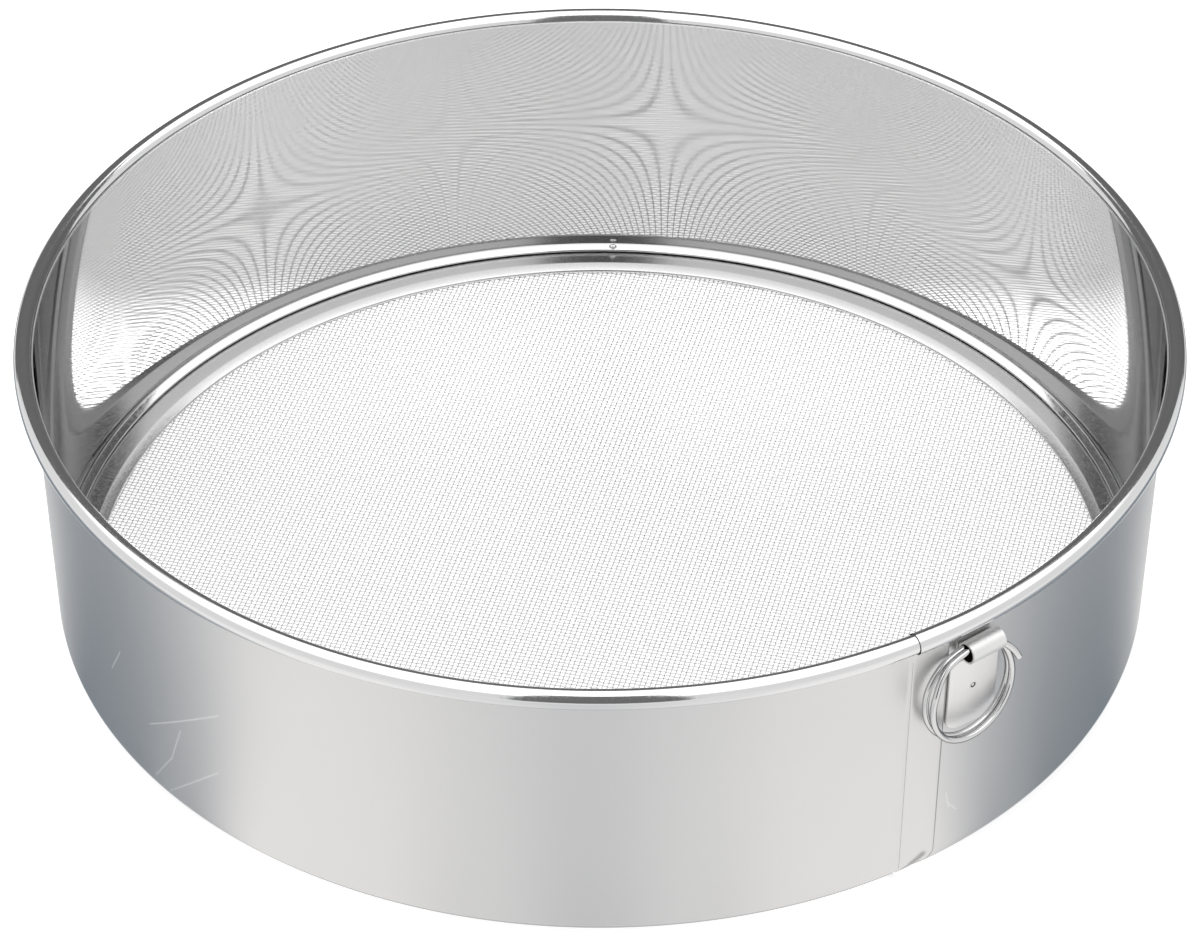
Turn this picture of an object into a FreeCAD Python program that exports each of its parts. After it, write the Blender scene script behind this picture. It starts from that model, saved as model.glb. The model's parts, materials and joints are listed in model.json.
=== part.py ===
import FreeCAD, Part
import math
import os

# Tamis drum sieve, all stainless steel, in millimetres.
# The drum's axis is +Z, the foot stands on Z = 0, and angles round the drum
# are counted from the front, -Y, towards +X.

# Drum hoop: one strip, rolled out at the rim and turned in at the foot
RIM_D = 240.0
HEIGHT = 65.0
HOOP_SHEET = 0.5
CURL_D = 4.1
CURL_TURN = 305.0
WALL_LEAN = 1.75
FOOT_BEND = 3.5
LEDGE_WIDTH = 3.3

# Lap seam, where the outer end of the strip lies over the inner end
LAP_WIDTH = 8.0
LAP_RAMP = 6.0
LAP_GAP = 0.5
LAP_CORNER = 3.0
SLEEVE_SWELL = 0.2
SLEEVE_FROM_ANGLE = -95.0
SLEEVE_TO_ANGLE = 165.0

# Core wire inside the rim curl
RIM_WIRE_D = 2.6

# Sieve cloth, as a flat net with fewer and larger gaps than the woven wires leave
CLOTH_WIRE = 0.3
NET_PITCH = 12.2
NET_BAR = 1.3
WEAVE_TURN = -13.8
LEAST_GAP_SHARE = 0.12

# Clamp ring, a pressed flange that holds the cloth down on the ledge
CLAMP_SHEET = 0.5
CLAMP_FLANGE = 3.0
LIP_RUN = 0.9
LIP_RISE = 0.35
COVE_RUN = 1.5
COVE_RISE = 0.8

# Retaining wire, sprung in above the clamp ring and butt welded at the back
RETAINER_D = 2.0
WELD_NUB_R = 1.2
WELD_ANGLE = 178.5

# Hanger strap, spot welded to the wall and rolled into a knuckle at the top
HANGER_ANGLE = 38.1
STRAP_SHEET = 0.4
KNUCKLE_DROP = 9.4
KNUCKLE_LENGTH = 7.0
KNUCKLE_BORE = 3.6
KNUCKLE_TURN = 300.0
PLATE_WIDTH = 11.6
PLATE_DROP = 20.5
PLATE_TOP_DROP = 3.2
PLATE_CORNER = 3.0
SPOT_DROP = 10.7
SPOT_R = 1.6
SPOT_DEPTH = 0.12

# Split ring, two turns of round wire through the knuckle
RING_OUTER_D = 22.0
RING_WIRE = 1.2
RING_PITCH = 1.65
RING_OFFSET = 0.6
RING_TILT = 4.0
RING_START_ANGLE = 12.0
RING_END_ANGLE = 720.0

# Clearance between pieces that seat on each other
SEAT = 0.05

Z_AXIS = FreeCAD.Vector(0, 0, 1)
ORIGIN = FreeCAD.Vector(0, 0, 0)
QUARTER = 90.0
FULL = 360.0


def polar(length, degrees):
    """Offset in the X-Z plane by a length in a direction."""
    turn = math.radians(degrees)
    return FreeCAD.Vector(length * math.cos(turn), 0, length * math.sin(turn))


def strip_face(start, heading, moves, sheet):
    """Section of a bent sheet in the X-Z plane, along its middle line.

    Each move is (length, 0) for a straight run, or (radius, angle) for a bend,
    positive to the left.
    """
    left, right = [], []
    point = start
    for size, angle in moves:
        if angle == 0:
            after, facing = point + polar(size, heading), heading
            for side, edges in ((sheet / 2, left), (-sheet / 2, right)):
                shift = polar(side, heading + QUARTER)
                edges.append(Part.makeLine(point + shift, after + shift))
        else:
            hand = math.copysign(1, angle)
            centre = point + polar(hand * size, heading + QUARTER)
            facing = heading + angle
            for side, edges in ((sheet / 2, left), (-sheet / 2, right)):
                radius = size - hand * side
                spots = [centre - polar(hand * radius, way + QUARTER)
                         for way in (heading, heading + angle / 2, facing)]
                edges.append(Part.Arc(*spots).toShape())
            after = centre - polar(hand * size, facing + QUARTER)
        point, heading = after, facing
    near = Part.makeLine(left[0].Vertexes[0].Point, right[0].Vertexes[0].Point)
    far = Part.makeLine(left[-1].Vertexes[-1].Point, right[-1].Vertexes[-1].Point)
    outline = Part.Wire(Part.__sortEdges__(left + right + [near, far]))
    return Part.Face(outline)


def round_drum(face):
    """A section in the X-Z plane turned right round the drum's axis."""
    return face.revolve(ORIGIN, Z_AXIS, FULL)


def from_front(shape, degrees):
    """A shape made at the front of the drum, moved round to its place."""
    moved = shape.copy()
    moved.rotate(ORIGIN, Z_AXIS, degrees)
    return moved


# Places that the pieces share, worked out from the sizes above
lean = math.radians(WALL_LEAN)
curl_r = CURL_D / 2
curl_mid = curl_r - HOOP_SHEET / 2
curl_centre = FreeCAD.Vector(RIM_D / 2 - curl_r, 0, HEIGHT - curl_r)
wall_top = curl_centre - polar(curl_mid, -WALL_LEAN)
foot_mid = FOOT_BEND - HOOP_SHEET / 2
wall_length = (wall_top.z - FOOT_BEND + foot_mid * math.sin(lean)) / math.cos(lean)
foot_r = wall_top.x - wall_length * math.sin(lean) - foot_mid * math.cos(lean)
ledge_r = foot_r - LEDGE_WIDTH
flange_start = foot_r - CLAMP_FLANGE
lip_r = flange_start - LIP_RUN
cloth_top = HOOP_SHEET + 2 * CLOTH_WIRE


def wall_mid(height):
    """Radius of the middle of the wall's sheet at a height."""
    return wall_top.x - (wall_top.z - height) * math.tan(lean)


half_wall = HOOP_SHEET / 2 / math.cos(lean)
knuckle_mid = KNUCKLE_BORE / 2 + STRAP_SHEET / 2
knuckle_r = KNUCKLE_BORE / 2 + STRAP_SHEET
knuckle_z = HEIGHT - KNUCKLE_DROP
hinge_reach = wall_mid(knuckle_z) + half_wall + (knuckle_r + SEAT) * math.cos(lean)
hinge = FreeCAD.Vector(0, -hinge_reach, knuckle_z - (knuckle_r + SEAT) * math.sin(lean))
lap_r = wall_mid(knuckle_z) + half_wall
lap_end = HANGER_ANGLE - math.degrees(math.asin((PLATE_WIDTH / 2 + LAP_GAP) / lap_r))
lap_start = lap_end - math.degrees(LAP_WIDTH / lap_r)
ramp_start = lap_start - math.degrees(LAP_RAMP / lap_r)


def lap_tongue():
    """Outer end of the strip on the wall, with its ramp and rounded corner."""
    low = FOOT_BEND - foot_mid * math.sin(lean)
    inner = wall_mid(low)
    outer = inner + half_wall + HOOP_SHEET
    middle = (lap_start + lap_end) / 2

    def spot(radius, degrees):
        turn = math.radians(degrees - middle)
        return FreeCAD.Vector(radius * math.sin(turn), -radius * math.cos(turn), low)

    edges = [Part.Arc(spot(inner, ramp_start), spot(inner, middle), spot(inner, lap_end)).toShape(),
             Part.makeLine(spot(inner, lap_end), spot(outer, lap_end)),
             Part.Arc(spot(outer, lap_end), spot(outer, middle), spot(outer, lap_start)).toShape(),
             Part.makeLine(spot(outer, lap_start), spot(inner, ramp_start))]
    rise = HEIGHT - CURL_D - low
    tongue = Part.Face(Part.Wire(edges)).extrude(FreeCAD.Vector(0, -rise * math.tan(lean), rise))
    end = spot(outer, lap_end)
    corner = [edge for edge in tongue.Edges
              if all(abs(vertex.Z - low) < SEAT for vertex in edge.Vertexes)
              and all(math.hypot(vertex.X - end.x, vertex.Y - end.y) < 2 * HOOP_SHEET
                      for vertex in edge.Vertexes)]
    return from_front(tongue.makeFillet(LAP_CORNER, corner), middle)


def curl_sleeve():
    """Swelling of the curl where its outer layer covers the other end."""
    face = strip_face(curl_centre + polar(curl_r, SLEEVE_TO_ANGLE), SLEEVE_TO_ANGLE - QUARTER,
                      [(curl_r, SLEEVE_FROM_ANGLE - SLEEVE_TO_ANGLE)], 2 * SLEEVE_SWELL)
    sleeve = face.revolve(ORIGIN, Z_AXIS, lap_end - lap_start)
    return from_front(sleeve, lap_start - QUARTER)


def drum_hoop():
    """Wall with rolled rim, turned-in ledge and lap seam, as one strip."""
    moves = [(LEDGE_WIDTH, 0),
             (foot_mid, QUARTER - WALL_LEAN),
             (wall_length, 0),
             (curl_mid, -CURL_TURN)]
    face = strip_face(FreeCAD.Vector(ledge_r, 0, HOOP_SHEET / 2), 0.0, moves, HOOP_SHEET)
    return round_drum(face).fuse([lap_tongue(), curl_sleeve()]).removeSplitter()


def rim_wire():
    """Core wire that the rim is curled round."""
    return Part.makeTorus(curl_centre.x, RIM_WIRE_D / 2,
                          FreeCAD.Vector(0, 0, curl_centre.z), Z_AXIS)


def mesh_disc():
    """The sieve cloth, as one holed face given the cloth's thickness."""
    open_r = lip_r
    field = Part.Face(Part.Wire(Part.makeCircle(open_r)))
    gap = NET_PITCH - NET_BAR
    least = LEAST_GAP_SHARE * gap * gap
    reach = math.ceil(open_r / NET_PITCH)
    holes = []
    for column in range(-reach, reach):
        for row in range(-reach, reach):
            corner = FreeCAD.Vector(column * NET_PITCH + NET_BAR / 2, row * NET_PITCH + NET_BAR / 2, 0)
            square = Part.makePlane(gap, gap, corner)
            square.rotate(ORIGIN, Z_AXIS, WEAVE_TURN)
            reaches = [vertex.Point.Length for vertex in square.Vertexes]
            if max(reaches) < open_r:
                holes.append(square.OuterWire)
            elif min(reaches) < open_r:
                clipped = square.common(field).Faces
                holes += [face.OuterWire for face in clipped if face.Area > least]
    print("net gaps", len(holes))
    rim = Part.Wire(Part.makeCircle(foot_r - SEAT))
    net = Part.Face([rim] + holes)
    net.validate()
    net.translate(FreeCAD.Vector(0, 0, HOOP_SHEET))
    return net.extrude(FreeCAD.Vector(0, 0, cloth_top - HOOP_SHEET))


def clamp_ring():
    """Pressed ring with a turned-down lip, a flange and an upturned cove."""
    low = cloth_top + SEAT
    under = [(lip_r, low), (flange_start, low + LIP_RISE), (foot_r, low + LIP_RISE),
             (foot_r + COVE_RUN, low + LIP_RISE + COVE_RISE)]
    over = [(radius, height + CLAMP_SHEET) for radius, height in reversed(under)]
    corners = [FreeCAD.Vector(radius, 0, height) for radius, height in under + over + under[:1]]
    return round_drum(Part.Face(Part.makePolygon(corners)))


def retainer_place():
    """Centre of the retaining wire: against the wall, down on the cove's edge."""
    radius = RETAINER_D / 2
    edge_r = foot_r + COVE_RUN
    edge_z = cloth_top + SEAT + LIP_RISE + COVE_RISE + CLAMP_SHEET
    reach = radius + SEAT
    height = edge_z
    for _ in range(8):
        across = wall_mid(height) - half_wall - radius - SEAT - edge_r
        height = edge_z + math.sqrt(max(reach * reach - across * across, 0))
    return FreeCAD.Vector(edge_r + across, 0, height)


def retaining_wire():
    """Round wire ring with the nub of its butt weld."""
    place = retainer_place()
    ring = Part.makeTorus(place.x, RETAINER_D / 2, FreeCAD.Vector(0, 0, place.z), Z_AXIS)
    proud = WELD_NUB_R - RETAINER_D / 2 + SEAT
    nub = Part.makeSphere(WELD_NUB_R, FreeCAD.Vector(0, proud - place.x, place.z + proud))
    return ring.fuse(from_front(nub, WELD_ANGLE)).removeSplitter()


def hanger_strap():
    """Flat plate on the wall with a narrower tab rolled into the knuckle."""
    neck = PLATE_TOP_DROP + STRAP_SHEET
    roll = strip_face(FreeCAD.Vector(-knuckle_mid, 0, -neck), QUARTER,
                      [(neck, 0), (knuckle_mid, -KNUCKLE_TURN)], STRAP_SHEET)
    knuckle = roll.extrude(FreeCAD.Vector(0, KNUCKLE_LENGTH, 0))
    knuckle.translate(FreeCAD.Vector(0, -KNUCKLE_LENGTH / 2, 0))
    plate = Part.makeBox(STRAP_SHEET, PLATE_WIDTH, PLATE_DROP - PLATE_TOP_DROP,
                         FreeCAD.Vector(-knuckle_r, -PLATE_WIDTH / 2, -PLATE_DROP))
    corners = [edge for edge in plate.Edges
               if all(abs(vertex.Z + PLATE_DROP) < SEAT for vertex in edge.Vertexes)
               and abs(edge.Vertexes[0].Y - edge.Vertexes[1].Y) < SEAT]
    plate = plate.makeFillet(PLATE_CORNER, corners)
    spot_out = SPOT_R + STRAP_SHEET - knuckle_r - SPOT_DEPTH
    spot = Part.makeSphere(SPOT_R, FreeCAD.Vector(spot_out, 0, -SPOT_DROP))
    strap = plate.fuse(knuckle).removeSplitter().cut(spot)
    strap.rotate(ORIGIN, Z_AXIS, -QUARTER)
    strap.rotate(ORIGIN, FreeCAD.Vector(1, 0, 0), WALL_LEAN)
    strap.translate(hinge)
    return from_front(strap, HANGER_ANGLE)


def biarc(start, start_way, end, end_way):
    """Two arcs that join two points and follow their directions."""
    chord = end - start
    ways = start_way + end_way
    along = chord.dot(ways)
    spread = 2 * (1 - start_way.dot(end_way))
    reach = (math.sqrt(along * along + spread * chord.dot(chord)) - along) / spread
    joint = (start + start_way * reach + end - end_way * reach) * 0.5
    edges = []
    for first, way, last in ((start, start_way, joint), (end, end_way * -1, joint)):
        span = last - first
        side = span - way * span.dot(way)
        radius = span.dot(span) / (2 * side.Length)
        centre = first + side.normalize() * radius
        outward = (first + span * 0.5 - centre).normalize()
        edges.append(Part.Arc(first, centre + outward * radius, last).toShape())
    return edges


# Split ring's helix, centred in the knuckle's bore at its top
ring_r = RING_OUTER_D / 2 - RING_WIRE / 2
far_end = KNUCKLE_LENGTH / 2 + RING_OFFSET
ring_sag = ring_r - math.sqrt(ring_r * ring_r - far_end * far_end)


def ring_spot(degrees):
    """Point on the ring's middle line, with the hinge at the origin."""
    turn = math.radians(degrees)
    depth = RING_PITCH * ((degrees - QUARTER) / FULL - 0.5)
    return FreeCAD.Vector(ring_r * math.cos(turn) - RING_OFFSET, depth,
                          ring_r * math.sin(turn) - ring_r + ring_sag / 2)


def ring_way(degrees):
    """Direction of the ring's middle line."""
    turn = math.radians(degrees)
    slope = RING_PITCH / math.radians(FULL)
    return FreeCAD.Vector(-ring_r * math.sin(turn), slope, ring_r * math.cos(turn)).normalize()


def least_ring_gap():
    """Least gap between the ring's two turns, on points along it."""
    step = 3.0
    count = int((RING_END_ANGLE - RING_START_ANGLE) / step)
    spots = [ring_spot(RING_START_ANGLE + step * index) for index in range(count + 1)]
    apart = int(FULL / 2 / step)
    gaps = [(spots[first] - spots[second]).Length
            for first in range(count + 1) for second in range(first + apart, count + 1)]
    return min(gaps) - RING_WIRE


def split_ring():
    """Two turns of wire as one unbroken tube, hung through the knuckle."""
    sweep_angle = RING_END_ANGLE - RING_START_ANGLE
    spans = math.ceil(sweep_angle / QUARTER)
    stops = [RING_START_ANGLE + sweep_angle * index / spans for index in range(spans + 1)]
    edges = []
    for first, last in zip(stops[:-1], stops[1:]):
        edges += biarc(ring_spot(first), ring_way(first), ring_spot(last), ring_way(last))
    path = Part.Wire(Part.__sortEdges__(edges))
    start = stops[0]
    section = Part.Wire(Part.makeCircle(RING_WIRE / 2, ring_spot(start), ring_way(start)))
    sweep = Part.BRepOffsetAPI.MakePipeShell(path)
    sweep.add(section)
    sweep.build()
    sweep.makeSolid()
    ring = sweep.shape()
    print("ring gap", round(least_ring_gap(), 3))
    print("ring volume over section times length",
          round(ring.Volume / (math.pi * (RING_WIRE / 2) ** 2 * path.Length), 4))
    ring.rotate(ORIGIN, FreeCAD.Vector(1, 0, 0), -RING_TILT)
    ring.translate(hinge)
    return from_front(ring, HANGER_ANGLE)


PIECES = {
    "drum_hoop": drum_hoop,
    "rim_wire": rim_wire,
    "mesh_disc": mesh_disc,
    "clamp_ring": clamp_ring,
    "retaining_wire": retaining_wire,
    "hanger_strap": hanger_strap,
    "split_ring": split_ring,
}

os.makedirs("parts", exist_ok=True)
for name, make in PIECES.items():
    piece = make()
    print(name, piece.isValid(), len(piece.Solids), round(piece.Volume, 2))
    piece.exportStep("parts/" + name + ".step")
turned = FreeCAD.Rotation(Z_AXIS, HANGER_ANGLE)
print("hinge at", turned.multVec(hinge), "along", turned.multVec(FreeCAD.Vector(-1, 0, 0)))
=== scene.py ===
import json
import math

import bmesh
import bpy
from mathutils import Matrix, Vector


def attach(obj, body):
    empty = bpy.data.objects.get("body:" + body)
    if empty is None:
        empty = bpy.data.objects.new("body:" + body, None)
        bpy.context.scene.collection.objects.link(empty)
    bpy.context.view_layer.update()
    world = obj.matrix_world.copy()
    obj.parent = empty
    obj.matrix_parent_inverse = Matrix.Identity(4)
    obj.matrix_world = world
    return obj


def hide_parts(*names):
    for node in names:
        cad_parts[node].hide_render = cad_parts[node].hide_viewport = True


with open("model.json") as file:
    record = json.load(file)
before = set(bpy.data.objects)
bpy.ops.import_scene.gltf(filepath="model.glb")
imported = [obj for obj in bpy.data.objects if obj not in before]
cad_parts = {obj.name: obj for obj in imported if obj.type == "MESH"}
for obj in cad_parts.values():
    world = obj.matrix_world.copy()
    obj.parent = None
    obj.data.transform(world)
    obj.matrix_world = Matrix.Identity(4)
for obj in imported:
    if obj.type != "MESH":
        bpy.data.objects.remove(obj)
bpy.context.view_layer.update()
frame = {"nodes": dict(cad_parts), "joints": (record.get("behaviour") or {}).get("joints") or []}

bl_info = {
    "name": "Drum sieve",
    "version": (1, 0, 0),
    "blender": (4, 5, 0),
    "location": "View3D > Sidebar > Drum sieve",
    "description": "Dresses the packed drum sieve with its hoop, woven cloth, rings and hanger",
    "category": "Object",
}

MM = 0.001
FULL_TURN = 2 * math.pi
X_AXIS = Vector((1, 0, 0))
Z_AXIS = Vector((0, 0, 1))
HINGE = frame["joints"][0]
WALL_MIDDLE = 115.2 * MM    # radius at which the wall is unrolled
SEAT = 0.05 * MM            # gap between pieces that lie on each other
CLOTH_EDGE = (0.107, 0.112)  # where the table comes out from under the cloth

# Lines on the outer wall, each from one spot to another. A spot is an angle from the front in degrees and a
# height in millimetres; a line of painted fold shade also has its width in millimetres.
HAIRLINES = (((-46.1, 22.7), (-48.0, 13.0)), ((-48.0, 13.0), (-51.2, 4.3)), ((-48.9, 3.1), (-40.9, 17.9)),
             ((-51.3, 17.8), (-40.2, 33.7)), ((-55.9, 30.4), (-58.2, 23.0)), ((36.2, 17.8), (36.7, 13.5)),
             ((36.3, 15.4), (37.7, 11.9)))
HAIRLINE_WIDTH = 0.3
# Painted shade: dark lines along the lap's edge, the crease where the lap starts and the fold of the pressed
# dent at the foot.
FOLD_SHADE_LINES = (((34.72, 5.0), (34.74, 57.0), 0.38), ((34.2, 2.4), (34.72, 5.0), 0.38),
         ((30.8, 3.0), (30.8, 57.0), 0.08), ((30.9, 1.5), (32.3, 3.3), 0.9),
         ((32.3, 3.3), (33.4, 4.8), 1.4))


def length_property(name, description, millimetres, **more):
    """A length that the panel shows."""
    return bpy.props.FloatProperty(name=name, description=description, default=millimetres * MM,
                                   unit="LENGTH", subtype="DISTANCE", **more)


def angle_property(name, description, degrees):
    """An angle that the panel shows."""
    return bpy.props.FloatProperty(name=name, description=description, default=math.radians(degrees),
                                   unit="ROTATION", subtype="ANGLE")


def colour_property(name, description, colour):
    """A colour that the panel shows."""
    return bpy.props.FloatVectorProperty(name=name, description=description, default=colour, size=3,
                                         min=0, max=1, subtype="COLOR")


class HoopSizes(bpy.types.PropertyGroup):
    """Sizes of the strip that makes the drum."""
    rim_radius: length_property("Rim radius", "Radius over the rim curl", 119.95)
    height: length_property("Height", "Table to the top of the rim curl", 65.0)
    sheet: length_property("Sheet", "Thickness of the strip", 0.5)
    curl_radius: length_property("Curl radius", "Radius of the rim curl's section", 2.05)
    lean: angle_property("Lean", "How far the wall leans out", 1.75)
    foot_bend: length_property("Foot bend", "Outside radius of the bend at the foot", 3.5)
    ledge: length_property("Ledge", "Width of the flat ledge under the cloth", 3.3)
    lap_start: angle_property("Lap start", "Angle from the front where the inner end of the strip lies", 31.0)
    lap_end: angle_property("Lap end", "Angle from the front where the outer end of the strip lies", 34.95)
    lap_ramp: angle_property("Lap ramp", "Angle over which the outer end rises onto the inner end", 0.6)


class ClothSizes(bpy.types.PropertyGroup):
    """Sizes of the woven wire cloth."""
    pitch: length_property("Pitch", "Distance between neighbouring wires", 1.058, precision=6)
    wire: length_property("Wire", "Wire diameter", 0.25, precision=6)
    radius: length_property("Radius", "Radius of the cut disc", 110.8)
    turn: angle_property("Turn", "Angle of the weave from the front", -13.8)


class RingSizes(bpy.types.PropertyGroup):
    """Sizes of the clamp ring and of the retaining wire above it."""
    nose_radius: length_property(
        "Nose radius", "Radius of the clamp ring at the middle of its rounded nose", 106.85)
    nose_bend: length_property("Nose bend", "Radius of the rounded nose that lies on the cloth", 0.5)
    nose_height: length_property("Nose height", "Height of the middle of the nose", 1.62)
    lip_slope: angle_property("Lip slope", "Slope of the lip from the flange down to the nose", 20)
    lip_width: length_property("Lip width", "Width of the sloping lip", 1.62)
    wire_width: length_property(
        "Wire width", "How far the flattened retaining wire stands out from the wall", 1.75)
    wire_low: length_property("Wire underside", "Height of the retaining wire's underside", 3.05)
    wire_face: length_property("Wire face", "Length of the retaining wire's flattened face", 1.5)
    wire_lean: angle_property("Wire lean", "How far the flattened face leans back", 65)
    weld_angle: angle_property("Weld angle", "Angle of the retaining wire's butt weld from the front", 178.5)


class HangerSizes(bpy.types.PropertyGroup):
    """Sizes of the strap and the split ring."""
    angle: angle_property("Angle", "Angle of the hanger from the front", 38.1)
    sheet: length_property("Strap sheet", "Thickness of the strap", 0.4)
    knuckle_radius: length_property("Knuckle radius", "Outside radius of the rolled knuckle", 2.3)
    knuckle_left: length_property("Knuckle left", "Reach of the knuckle left of the strap's middle", 3.8)
    knuckle_right: length_property("Knuckle right", "Reach of the knuckle right of the strap's middle", 4.5)
    knuckle_raise: length_property(
        "Knuckle raise", "How far the knuckle's middle stands above the ring's axis", 0.12)
    plate_width: length_property("Plate width", "Width of the plate on the wall", 11.6)
    plate_drop: length_property("Plate drop", "Reach of the plate below the knuckle's axis", 20.5)
    plate_corner: length_property("Plate corner", "Radius of the plate's lower corners", 3.0)
    ring_radius: length_property("Ring radius", "Radius of the split ring at the middle of its wire", 10.6)
    ring_wire: length_property("Ring wire", "Diameter of the split ring's wire", 1.3)
    ring_pitch: length_property("Ring pitch", "Distance between the ring's two turns below the knuckle", 2.4)
    ring_aside: length_property("Ring aside", "How far left of the strap's middle the ring hangs", 2.6)


class FinishLooks(bpy.types.PropertyGroup):
    """Colours and gloss of the steel."""
    satin: colour_property("Satin steel", "Colour of the outer wall", (0.745, 0.741, 0.739))
    mirror: colour_property("Mirror steel", "Colour of the inner wall", (0.58, 0.58, 0.58))
    bright: colour_property(
        "Bright steel", "Colour of the rim curl and the retaining wire", (0.8, 0.8, 0.805))
    pressed: colour_property(
        "Pressed steel", "Colour of the clamp ring and the split ring", (0.72, 0.72, 0.72))
    strap: colour_property("Strap steel", "Colour of the hanger strap", (0.88, 0.875, 0.87))
    cloth: colour_property("Cloth wire", "Colour of the woven wire", (0.78, 0.78, 0.78))
    satin_roughness: bpy.props.FloatProperty(
        name="Satin roughness", description="Roughness of the outer wall",
        default=0.4, min=0, max=1, subtype="FACTOR")
    bright_roughness: bpy.props.FloatProperty(
        name="Bright roughness", description="Roughness of the rim curl and the retaining wire",
        default=0.1, min=0, max=1, subtype="FACTOR")


class StageLooks(bpy.types.PropertyGroup):
    """Table, light and camera."""
    table: colour_property("Table", "Colour of the table", (0.9, 0.9, 0.9))
    room: bpy.props.FloatProperty(
        name="Room light", description="Strength of the room's even light",
        default=0.6, min=0, max=2)
    key: bpy.props.FloatProperty(
        name="Key light", description="Power of the large lamp above",
        default=9.0, unit="POWER")
    lens: bpy.props.FloatProperty(
        name="Lens", description="Focal length of the camera",
        default=155.26, unit="CAMERA")


def settings(name):
    """One of the groups of sizes above."""
    return getattr(bpy.context.scene, "sieve_" + name)


def smooth_step(value, low, high):
    """0 below low, 1 above high, and a smooth rise between."""
    share = min(max((value - low) / (high - low), 0.0), 1.0)
    return share * share * (3 - 2 * share)


def front_angle(point):
    """Angle of a point round the drum, from the front towards +X."""
    return math.atan2(point.x, -point.y)


def foot_radius(hoop):
    """Radius where the flat ledge ends and the foot bend starts."""
    top = hoop.rim_radius - hoop.curl_radius * (1 + math.cos(hoop.lean))
    top += hoop.sheet
    drop = hoop.height - hoop.curl_radius - hoop.foot_bend
    return top - drop * math.tan(hoop.lean) - hoop.foot_bend


def wall_radius(hoop, height):
    """Outside radius of the wall at a height."""
    base = foot_radius(hoop) + hoop.foot_bend
    return base + (height - hoop.foot_bend) * math.tan(hoop.lean)


# Section lines are drawn at the front, in the plane X = 0, with -Y outward.

def start_line(bm, radius, height):
    """First point of a section line."""
    return bm.verts.new((0, -radius, height))


def run_line(bm, vert, outward, up):
    """A straight run of a section line."""
    new = bmesh.ops.extrude_vert_indiv(bm, verts=[vert])["verts"][0]
    bmesh.ops.translate(bm, verts=[new], vec=(0, -outward, up))
    return new


def bend_line(bm, vert, radius, height, angle, steps):
    """A bend of a section line about a centre, positive from outward to up."""
    out = bmesh.ops.spin(bm, geom=[vert], cent=(0, -radius, height), axis=X_AXIS,
                         dvec=(0, 0, 0), angle=-angle, steps=steps, use_merge=False)
    return [item for item in out["geom_last"] if isinstance(item, bmesh.types.BMVert)][0]


def turn_to(bm, verts, angle):
    """Moves points from the front to their angle round the drum."""
    bmesh.ops.rotate(bm, verts=verts, cent=(0, 0, 0), matrix=Matrix.Rotation(angle, 3, "Z"))


def spin_round(bm, geom, angle, steps):
    """Turns a section round the drum's axis and gives its last copy."""
    whole = abs(angle - FULL_TURN) < 1e-6
    return bmesh.ops.spin(bm, geom=geom, cent=(0, 0, 0), axis=Z_AXIS, dvec=(0, 0, 0),
                          angle=angle, steps=steps, use_merge=whole)["geom_last"]


def close_up(bm):
    """Merges doubles, closes open ends and points the faces outward."""
    bmesh.ops.remove_doubles(bm, verts=bm.verts[:], dist=1e-7)
    open_edges = [edge for edge in bm.edges if edge.is_boundary]
    if open_edges:
        bmesh.ops.holes_fill(bm, edges=open_edges, sides=0)
    bmesh.ops.recalc_face_normals(bm, faces=bm.faces[:])


def finish_piece(bm, name, body, materials, replaced=(), crease=40):
    """Makes a piece of a bmesh and hangs it on its body."""
    mesh = bpy.data.meshes.new(name)
    bm.to_mesh(mesh)
    bm.free()
    for material in materials:
        mesh.materials.append(material)
    mesh.polygons.foreach_set("use_smooth", [True] * len(mesh.polygons))
    mesh.set_sharp_from_angle(angle=math.radians(crease))
    piece = bpy.data.objects.new(name, mesh)
    bpy.context.scene.collection.objects.link(piece)
    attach(piece, body)
    if replaced:
        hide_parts(*replaced)
    return piece


# Finishes

class NodeDesk:
    """Adds nodes to a tree. An input takes a value or another node's socket."""

    def __init__(self, tree):
        self.nodes, self.links = tree.nodes, tree.links

    def feed(self, socket, value):
        if isinstance(value, bpy.types.NodeSocket):
            self.links.new(value, socket)
        else:
            socket.default_value = value

    def add(self, kind, feeds=None, **traits):
        node = self.nodes.new("ShaderNode" + kind)
        for name, value in traits.items():
            setattr(node, name, value)
        for key, value in (feeds or {}).items():
            self.feed(node.inputs[key], value)
        return node

    def math(self, operation, one, two=0.0):
        return self.add("Math", {0: one, 1: two}, operation=operation).outputs[0]

    def vector(self, operation, one, two=(0, 0, 0)):
        return self.add("VectorMath", {0: one, 1: two}, operation=operation)

    def rise(self, value, low, high, start=0.0, end=1.0):
        feeds = {"Value": value, "From Min": low, "From Max": high, "To Min": start, "To Max": end}
        return self.add("MapRange", feeds, interpolation_type="SMOOTHSTEP").outputs["Result"]

    def blend(self, factor, one, two):
        node = self.add("Mix", data_type="RGBA")
        for key, value in (("Factor", factor), ("A", one), ("B", two)):
            self.feed(node.inputs[key], value)
        return node.outputs["Result"]


def effect_group(name, inputs, outputs):
    """A new shader node group with its sockets, or None where it stands already."""
    if bpy.data.node_groups.get(name):
        return None
    group = bpy.data.node_groups.new(name, "ShaderNodeTree")
    for key, kind, value in inputs:
        socket = group.interface.new_socket(key, in_out="INPUT", socket_type="NodeSocket" + kind)
        if value is not None:
            socket.default_value = value
    for key in outputs:
        group.interface.new_socket(key, in_out="OUTPUT", socket_type="NodeSocketFloat")
    return group


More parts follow.
